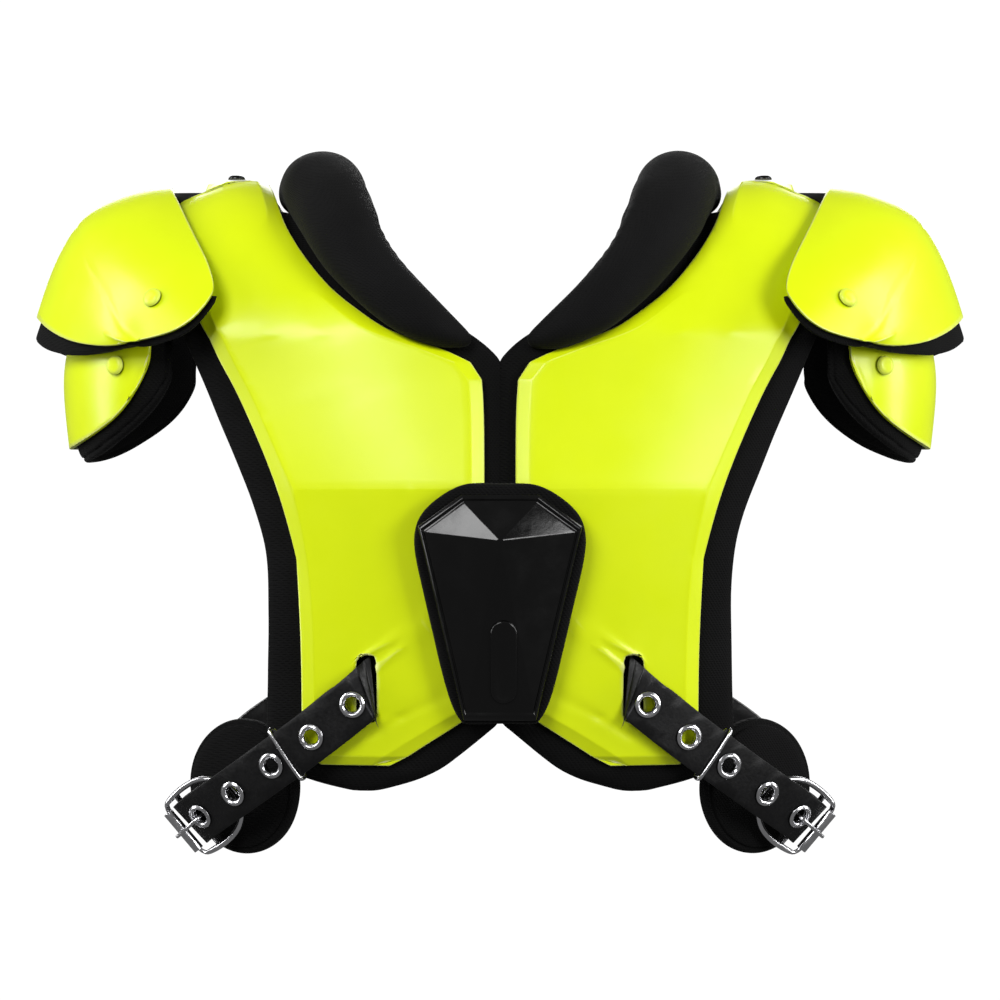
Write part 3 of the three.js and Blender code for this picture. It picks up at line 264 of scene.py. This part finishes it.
class Shader:
    """A Principled material with the few node patterns used here, in the row's metres."""

    def __init__(self, name, color, roughness, metallic=0.0):
        self.material = bpy.data.materials.new(name)
        self.material.use_nodes = True
        self.tree = self.material.node_tree
        self.surface = self.tree.nodes["Principled BSDF"]
        self.set("Base Color", (*color, 1))
        self.set("Roughness", roughness)
        self.set("Metallic", metallic)
        self.place = self.add("ShaderNodeTexCoord").outputs["Object"]

    def set(self, name, value):
        self.surface.inputs[name].default_value = value

    def add(self, kind, **settings):
        node = self.tree.nodes.new(kind)
        for key, value in settings.items():
            setattr(node, key, value)
        return node

    def link(self, output, target):
        self.tree.links.new(output, target)

    def noise(self, size, detail=4.0, roughness=0.5):
        """Soft noise with features about this many metres across."""
        node = self.add("ShaderNodeTexNoise")
        node.inputs["Scale"].default_value = 1 / size
        node.inputs["Detail"].default_value = detail
        node.inputs["Roughness"].default_value = roughness
        self.link(self.place, node.inputs["Vector"])
        return node.outputs["Fac"]

    def threads(self, direction, spacing):
        """Slightly wavy ridges this far apart, across X, Y, Z or DIAGONAL."""
        node = self.add("ShaderNodeTexWave", wave_type="BANDS", bands_direction=direction)
        node.inputs["Scale"].default_value = math.tau / (20 * spacing)
        node.inputs["Distortion"].default_value = 0.3
        self.link(self.place, node.inputs["Vector"])
        return node.outputs["Fac"]

    def math(self, operation, first, second):
        node = self.add("ShaderNodeMath", operation=operation)
        for socket, value in zip(node.inputs, (first, second)):
            if isinstance(value, (int, float)):
                socket.default_value = value
            else:
                self.link(value, socket)
        return node.outputs["Value"]

    def span(self, value, low, high, to_low, to_high):
        """Maps low to to_low and high to to_high, and stays at them beyond."""
        node = self.add("ShaderNodeMapRange")
        limits = {"From Min": low, "From Max": high, "To Min": to_low, "To Max": to_high}
        for name, number in limits.items():
            node.inputs[name].default_value = number
        self.link(value, node.inputs["Value"])
        return node.outputs["Result"]

    def vary_roughness(self, pattern, low, high):
        self.link(self.span(pattern, *NOISE_SPAN, low, high), self.surface.inputs["Roughness"])

    def blend_colors(self, factor, first, second):
        """Colours the surface from first to second by factor, and returns the mixture."""
        node = self.add("ShaderNodeMix", data_type="RGBA")
        node.inputs["A"].default_value = (*first, 1)
        node.inputs["B"].default_value = (*second, 1)
        self.link(factor, node.inputs["Factor"])
        self.link(node.outputs["Result"], self.surface.inputs["Base Color"])
        return node.outputs["Result"]

    def painted_edge_highlight(self, color, light, low, high):
        """Painted highlight: mixes towards a lighter colour on convex edges, as the thin lines of
        light that moulded creases and edges catch.
        It starts at a pointiness of low and is full at high."""
        pointed = self.add("ShaderNodeNewGeometry").outputs["Pointiness"]
        mix = self.add("ShaderNodeMix", data_type="RGBA")
        mix.inputs["B"].default_value = (*light, 1)
        self.link(self.span(pointed, low, high, 0, 1), mix.inputs["Factor"])
        self.link(color, mix.inputs["A"])
        self.link(mix.outputs["Result"], self.surface.inputs["Base Color"])
        return mix.outputs["Result"]

    def painted_corner_shade(self, color, reach, least):
        """Painted shade: darkens the colour, down to a share of least, where a surface is closer than
        reach, as in corners, round rivets and under edges.
        """
        closed, open_air = 0.35, 0.8
        corner = self.add("ShaderNodeAmbientOcclusion", samples=8)
        corner.inputs["Distance"].default_value = reach
        dim = self.span(corner.outputs["AO"], closed, open_air, least, 1)
        grey = self.add("ShaderNodeCombineColor")
        for channel in ("Red", "Green", "Blue"):
            self.link(dim, grey.inputs[channel])
        shade = self.add("ShaderNodeMix", data_type="RGBA", blend_type="MULTIPLY")
        shade.inputs["Factor"].default_value = 1
        self.link(color, shade.inputs["A"])
        self.link(grey.outputs["Color"], shade.inputs["B"])
        self.link(shade.outputs["Result"], self.surface.inputs["Base Color"])

    def bump(self, height, depth):
        node = self.add("ShaderNodeBump")
        node.inputs["Distance"].default_value = depth
        node.inputs["Strength"].default_value = 1.0
        self.link(height, node.inputs["Height"])
        self.link(node.outputs["Normal"], self.surface.inputs["Normal"])


def neon_plastic():
    shader = Shader("neon_plastic", (0.76, 0.9, 0.004), roughness=0.3)
    mottle = shader.span(shader.noise(0.03), low=0.35, high=0.65, to_low=0, to_high=1)
    color = shader.blend_colors(mottle, (0.72, 0.87, 0.002), (0.74, 0.885, 0.004))
    # Painted highlight: pale lines along the plastic's creases and edges
    color = shader.painted_edge_highlight(color, (0.92, 0.98, 0.35), low=0.51, high=0.56)
    # Painted shade round rivets, under flap edges and where straps touch the plastic
    shader.painted_corner_shade(color, reach=0.0025, least=0.3)
    shader.vary_roughness(shader.noise(0.02), low=0.28, high=0.36)
    shader.set("Subsurface Weight", 0.08)
    shader.set("Subsurface Radius", (0.003, 0.003, 0.0005))
    shader.set("Subsurface Scale", 1.0)
    shader.set("Specular IOR Level", 0.35)
    shader.set("Coat Weight", 0.08)
    shader.set("Coat Roughness", 0.15)
    shader.bump(shader.noise(0.01, detail=2), depth=0.00003)
    return shader.material


def black_plastic():
    shader = Shader("black_plastic", (0.002, 0.002, 0.002), roughness=0.16)
    shader.vary_roughness(shader.noise(0.012), low=0.1, high=0.26)
    shader.set("Specular IOR Level", 0.35)
    shader.set("Coat Weight", 0.1)
    shader.set("Coat Roughness", 0.08)
    shader.bump(shader.noise(0.005, detail=3), depth=0.0001)
    return shader.material


def black_fabric(name, spacing, depth, shade):
    """A woven cover: two sets of threads, a little fluff and slow changes of shade."""
    fluff_share = 0.6
    dark = (shade * 0.4,) * 3
    light = (shade * 1.9, shade * 1.9, shade * 1.95)
    shader = Shader(name, (shade, shade, shade), roughness=0.85)
    weave = shader.math("MAXIMUM", shader.threads("DIAGONAL", spacing), shader.threads("Z", spacing))
    fluff = shader.math("MULTIPLY", shader.noise(0.0012, detail=3), fluff_share)
    height = shader.math("ADD", weave, fluff)
    lit_threads = shader.span(weave, low=0, high=1, to_low=0.5, to_high=1.4)
    mottle = shader.math("MULTIPLY", shader.noise(0.04), lit_threads)
    shader.blend_colors(mottle, dark, light)
    shader.set("Sheen Weight", 0.03)
    shader.set("Sheen Roughness", 0.4)
    shader.set("Specular IOR Level", 0.1)
    shader.bump(height, depth)
    return shader.material


def coated_strap():
    shader = Shader("coated_strap", (0.003, 0.003, 0.0035), roughness=0.38)
    grain = shader.noise(0.0016, detail=5, roughness=0.6)
    shader.vary_roughness(grain, low=0.34, high=0.56)
    color = shader.blend_colors(shader.noise(0.02), (0.0015, 0.0015, 0.0018), (0.006, 0.006, 0.0065))
    # Painted highlight: light lines along the strap's edges and ply edges
    shader.painted_edge_highlight(color, (0.05, 0.05, 0.055), low=0.55, high=0.62)
    shader.set("Specular IOR Level", 0.3)
    shader.bump(grain, depth=0.00012)
    return shader.material


def nickel():
    shader = Shader("nickel", (0.7, 0.7, 0.72), roughness=0.2, metallic=1.0)
    shader.vary_roughness(shader.noise(0.004), low=0.12, high=0.3)
    shader.blend_colors(shader.noise(0.01), (0.52, 0.52, 0.54), (0.85, 0.85, 0.87))
    shader.bump(shader.noise(0.0015, detail=2), depth=0.00004)
    return shader.material


# Meshes


def cover_with(piece, material):
    """Gives a piece one material and smooth shading."""
    piece.data.materials.clear()
    piece.data.materials.append(material)
    piece.data.polygons.foreach_set("use_smooth", [True] * len(piece.data.polygons))


def add_bevel(piece, width, angle):
    bevel = piece.modifiers.new("rounded_edges", "BEVEL")
    bevel.width = width
    bevel.segments = 2
    bevel.limit_method = "ANGLE"
    bevel.angle_limit = math.radians(angle)
    bevel.harden_normals = True
    return bevel


def add_subdivision(piece, levels):
    finer = piece.modifiers.new("subdivision", "SUBSURF")
    finer.levels = finer.render_levels = levels


def apply_modifiers(piece):
    bpy.context.view_layer.update()
    graph = bpy.context.evaluated_depsgraph_get()
    mesh = bpy.data.meshes.new_from_object(piece.evaluated_get(graph))
    old = piece.data
    piece.modifiers.clear()
    piece.data = mesh
    bpy.data.meshes.remove(old)


def move_out(piece, amount):
    """Moves each point along its normal by amount(vertex)."""
    mesh = piece.data
    moved = [vertex.co + vertex.normal * amount(vertex) for vertex in mesh.vertices]
    for vertex, co in zip(mesh.vertices, moved):
        vertex.co = co
    mesh.update()


def quads(node):
    """A node's mesh, welded, with its triangles joined in pairs."""
    work = bmesh.new()
    work.from_mesh(nodes[node].data)
    bmesh.ops.remove_doubles(work, verts=work.verts, dist=WELD)
    bmesh.ops.join_triangles(
        work,
        faces=work.faces,
        angle_face_threshold=math.radians(30),
        angle_shape_threshold=math.radians(75),
    )
    bmesh.ops.recalc_face_normals(work, faces=work.faces)
    return work


def refined(node, name, sharp, crease, levels, bevel=0.0, grow=1.0, ridge=None):
    """A node's copy, subdivided. Edges past sharp, which is an angle or gives one for an edge, are
    creased, and bevel rounds them. grow makes up for what a round piece of few sides loses, and
    ridge(edge) picks edges to crease besides."""
    work = quads(node)
    layer = work.edges.layers.float.new("crease_edge")
    for edge in work.edges:
        limit = sharp(edge) if callable(sharp) else sharp
        if math.degrees(edge.calc_face_angle(0)) > limit or (ridge and ridge(edge)):
            edge[layer] = crease
    if grow != 1:
        middle = sum((vertex.co for vertex in work.verts), Vector()) / len(work.verts)
        for vertex in work.verts:
            vertex.co = middle + (vertex.co - middle) * grow
    piece = new_piece(name, work)
    add_subdivision(piece, levels)
    if bevel:
        add_bevel(piece, bevel, BEVEL_ANGLE).use_clamp_overlap = False
    apply_modifiers(piece)
    return piece


def finish_hard(name, material, width, angle):
    """Finishes a node in place: it keeps its shape and gets small rounded edges."""
    piece = nodes[name]
    cover_with(piece, material)
    weld = piece.modifiers.new("weld", "WELD")
    weld.merge_threshold = WELD
    add_bevel(piece, width, angle)


def dress(piece, material, slot, *replaced):
    cover_with(piece, material)
    if replaced:
        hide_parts(*replaced)
    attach(piece, "root")


# Moulded plastic


def line_gap(place, start, end):
    """The distance from a place to the line from start to end."""
    along = end - start
    share = max(0.0, min(1.0, (place - start).dot(along) / along.length_squared))
    return (start + along * share - place).length


def plate_crease(edge):
    """The angle past which a plate's bend is crisp."""
    first, second = (vertex.co for vertex in edge.verts)
    z = ((first + second) / 2).z
    level = abs(first.z - second.z) < 0.3 * edge.calc_length()
    if level and abs(z - UPPER_BEND) < UPPER_BEND_REACH:
        return SOFT_BEND
    return CHEST_CRISP if z < ARCH_FOOT else ARCH_CRISP


def moulded_line(place, line, width):
    """1 on a line between two places and less beside it, all as (x, z) from the front."""
    gap = line_gap(place, Vector(line[0]), Vector(line[1]))
    return math.exp(-((gap / width) ** 2))


def plate_relief(vertex):
    """The moulded lines that run from under the breast piece to the strap's slot, and below it."""
    co = vertex.co
    if co.y > PLATE_FRONT:
        return 0.0
    place = Vector((abs(co.x), co.z))
    raised = sum(moulded_line(place, line, RAISED_WIDTH) for line in RAISED_LINES)
    sunk = sum(moulded_line(place, line, SUNK_WIDTH) for line in SUNK_LINES)
    return RAISED_HEIGHT * raised - SUNK_DEPTH * sunk


def from_ridge(co):
    """How far a place is from the ridge between a shoulder flap's top and its outer face."""
    here = Vector((abs(co.x), abs(co.y), co.z))
    points = [Vector(point) for point in FLAP_RIDGE]
    return min(line_gap(here, start, end) for start, end in zip(points, points[1:]))


def on_ridge(edge):
    return all(v.co.z > RIDGE_FOOT and from_ridge(v.co) < RIDGE_REACH for v in edge.verts)


def ridge_groove(vertex):
    return -GROOVE_DEPTH * math.exp(-((from_ridge(vertex.co) / GROOVE_WIDTH) ** 2))


def make_plaque():
    """A plain raised plaque with rounded ends, low on the breast piece."""
    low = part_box("sternum_plate")[0]
    front, middle_z = low.y - 0.05, low.z + PLAQUE_RISE
    end = PLAQUE_HALF - PLAQUE_RADIUS
    outline = []
    for shift, first in ((end, 0), (-end, PLAQUE_POINTS - 1)):
        for step in range(first, first + PLAQUE_POINTS):
            turn = math.pi * step / (PLAQUE_POINTS - 1)
            across = PLAQUE_RADIUS * math.cos(turn)
            outline.append((across, shift + PLAQUE_RADIUS * math.sin(turn)))
    work = bmesh.new()
    rings = []
    for inset, lift in PLAQUE_RINGS:
        ring = []
        for across, up in outline:
            x = PLAQUE_X + across * (1 - inset / PLAQUE_RADIUS)
            z = middle_z + up * (1 - inset / PLAQUE_HALF)
            place = nodes["sternum_plate"].ray_cast(Vector((x, front, z)), Vector((0, 1, 0)))[1]
            ring.append(work.verts.new((x, place.y - lift, z)))
        rings.append(ring)
    for ring, other in zip(rings, rings[1:]):
        for i in range(len(ring)):
            j = (i + 1) % len(ring)
            work.faces.new((ring[i], ring[j], other[j], other[i]))
    work.faces.new(rings[0])
    work.faces.new(rings[-1])
    bmesh.ops.recalc_face_normals(work, faces=work.faces)
    return new_piece("chest_plaque", work)


# Pads


def inflate(piece, cap):
    """Fills a pad out by cloth simulation; no point moves further than cap."""
    start = [vertex.co.copy() for vertex in piece.data.vertices]
    cloth = piece.modifiers.new("cloth", "CLOTH")
    settings = cloth.settings
    settings.quality = 5
    settings.mass = 0.3
    settings.use_pressure = True
    settings.uniform_pressure_force = PAD_PRESSURE
    settings.effector_weights.gravity = 0
    cloth.collision_settings.use_collision = False
    cloth.point_cache.frame_start = 1
    cloth.point_cache.frame_end = PAD_FRAMES
    scene = bpy.context.scene
    for number in range(1, PAD_FRAMES + 1):
        scene.frame_set(number)
    apply_modifiers(piece)
    for vertex, before in zip(piece.data.vertices, start):
        step = vertex.co - before
        if step.length > cap:
            vertex.co = before + step * (cap / step.length)
    scene.frame_set(1)


def lumps(size, depth):
    """Soft rises and falls of the surface, for hand-made unevenness."""
    return lambda vertex: depth * noise.noise(vertex.co / size)


def rim_weights(piece, reach, spread):
    """1 on the rim of a pad, where it is deeper than reach behind its surface, and 0 on its faces."""
    skin = 0.0003
    mesh = piece.data
    faces = [polygon.vertices[:] for polygon in mesh.polygons]
    tree = BVHTree.FromPolygons([vertex.co for vertex in mesh.vertices], faces)
    weights = []
    for vertex in mesh.vertices:
        inside = vertex.co - vertex.normal * skin
        far = tree.ray_cast(inside, -vertex.normal)[3]
        weights.append(1.0 if far is None or far > reach else 0.0)
    pairs = [edge.vertices[:] for edge in mesh.edges]
    for _ in range(spread):
        total = list(weights)
        count = [1] * len(weights)
        for a, b in pairs:
            total[a] += weights[b]
            total[b] += weights[a]
            count[a] += 1
            count[b] += 1
        weights = [t / c for t, c in zip(total, count)]
    return weights


def roll_rim(piece, reach, bead, groove, spread):
    """Swells a pad's rim into a sewn roll, with a groove where the roll's seam pulls the cover in."""
    seam_weight, seam_width = 0.2, 0.18
    weights = rim_weights(piece, reach, spread)

    def rise(vertex):
        weight = weights[vertex.index]
        seam = max(0.0, 1 - abs(weight - seam_weight) / seam_width)
        return bead * weight - groove * seam

    move_out(piece, rise)


def gather(piece, side):
    """Small folds across the side of a neck roll that faces the neck, near its top."""
    inward = -1 if side == "left" else 1
    lean_x, lean_y = GATHER_LEAN

    def rise(vertex):
        co = vertex.co
        facing = max(0.0, inward * vertex.normal.x) ** 2
        high = max(0.0, 1 - abs(co.z - GATHER_HEIGHT) / GATHER_REACH)
        wander = GATHER_WANDER * noise.noise(co / GATHER_WANDER_SIZE)
        slant = co.z + lean_x * abs(co.x) + lean_y * co.y + wander
        return GATHER_DEPTH * facing * high * math.sin(math.tau * slant / GATHER_SPACING)

    move_out(piece, rise)


def make_pad(node, name, material, fill, crease, puff, swell=0.0, unevenness=0.0003, rim=None):
    """A padded piece: a rounded copy of its solid, filled out by simulation and made a little uneven.
    swell makes up for what a thick roll's rounding takes off."""
    piece = refined(node, name, sharp=40, crease=crease, levels=2)
    if swell:
        move_out(piece, lambda vertex: swell)
    inflate(piece, puff)
    add_subdivision(piece, 1)
    apply_modifiers(piece)
    move_out(piece, lumps(LUMP_SIZE, unevenness))
    if rim:
        roll_rim(piece, **rim)
    dress(piece, material, "black_fabric", node)
    return piece


make_camera()
make_studio()
make_backdrop()

plastic = neon_plastic()
gloss_black = black_plastic()
cover = black_fabric("pad_cover", spacing=0.0011, depth=0.0002, shade=0.0028)
roll_cover = black_fabric("roll_cover", spacing=0.0008, depth=0.00012, shade=0.004)
strap_coat = coated_strap()
metal = nickel()

for side in SIDES:
    for kind in ("front_plate", "back_plate"):
        node = f"{kind}_{side}"
        shell = refined(node, f"{kind}_shell_{side}", plate_crease, crease=1, levels=3, bevel=0.0004)
        move_out(shell, plate_relief)
        dress(shell, plastic, "yellow_plastic", node)
    for kind in ("epaulet", "cup"):
        node = f"{kind}_{side}"
        name = f"{kind}_shell_{side}"
        shell = refined(node, name, sharp=40, crease=1, levels=3, bevel=0.0004, ridge=on_ridge)
        if kind == "epaulet":
            move_out(shell, ridge_groove)
        dress(shell, plastic, "yellow_plastic", node)
    for kind in ("epaulet_front_rivet", "epaulet_back_rivet", "cup_front_rivet", "cup_back_rivet"):
        node = f"{kind}_{side}"
        head = refined(node, f"{kind}_head_{side}", sharp=60, crease=1, levels=2, grow=1.07)
        dress(head, plastic, "yellow_plastic", node)
    node = f"arch_rivet_{side}"
    head = refined(node, f"arch_rivet_head_{side}", sharp=60, crease=1, levels=2)
    dress(head, gloss_black, "black_plastic", node)
    for number in range(1, 6):
        node = f"strap_eyelet_{number}_{side}"
        ring = refined(node, f"{node}_ring", sharp=70, crease=0.5, levels=2, grow=1.09)
        dress(ring, metal, "steel", node)
    for kind in ("strap_keeper", "buckle_frame", "buckle_prong"):
        node = f"{kind}_{side}"
        wire = refined(node, f"{kind}_wire_{side}", sharp=75, crease=0.6, levels=2)
        dress(wire, metal, "steel", node)
    node = f"buckle_roller_{side}"
    tube = refined(node, f"{node}_tube", sharp=60, crease=1, levels=2, bevel=0.0001)
    dress(tube, metal, "steel", node)
    for kind in ("strap", "back_strap", "epaulet_tab"):
        node = f"{kind}_{side}"
        name = f"{kind}_webbing_{side}"
        webbing = refined(node, name, sharp=50, crease=1, levels=2, bevel=0.0003)
        dress(webbing, strap_coat, "black_vinyl", node)
finish_hard("sternum_plate", gloss_black, width=0.0005, angle=5)
finish_hard("back_bridge", gloss_black, width=0.0008, angle=28)
dress(make_plaque(), gloss_black, "black_plastic")

for side in SIDES:
    for kind, settings in PADS.items():
        make_pad(f"{kind}_{side}", f"{kind}_cover_{side}", cover, **settings)
    roll = make_pad(f"neck_pad_{side}", f"neck_roll_{side}", roll_cover, **NECK_ROLL)
    gather(roll, side)
make_pad("sternum_pad", "sternum_pad_cover", cover, **STERNUM_PAD)
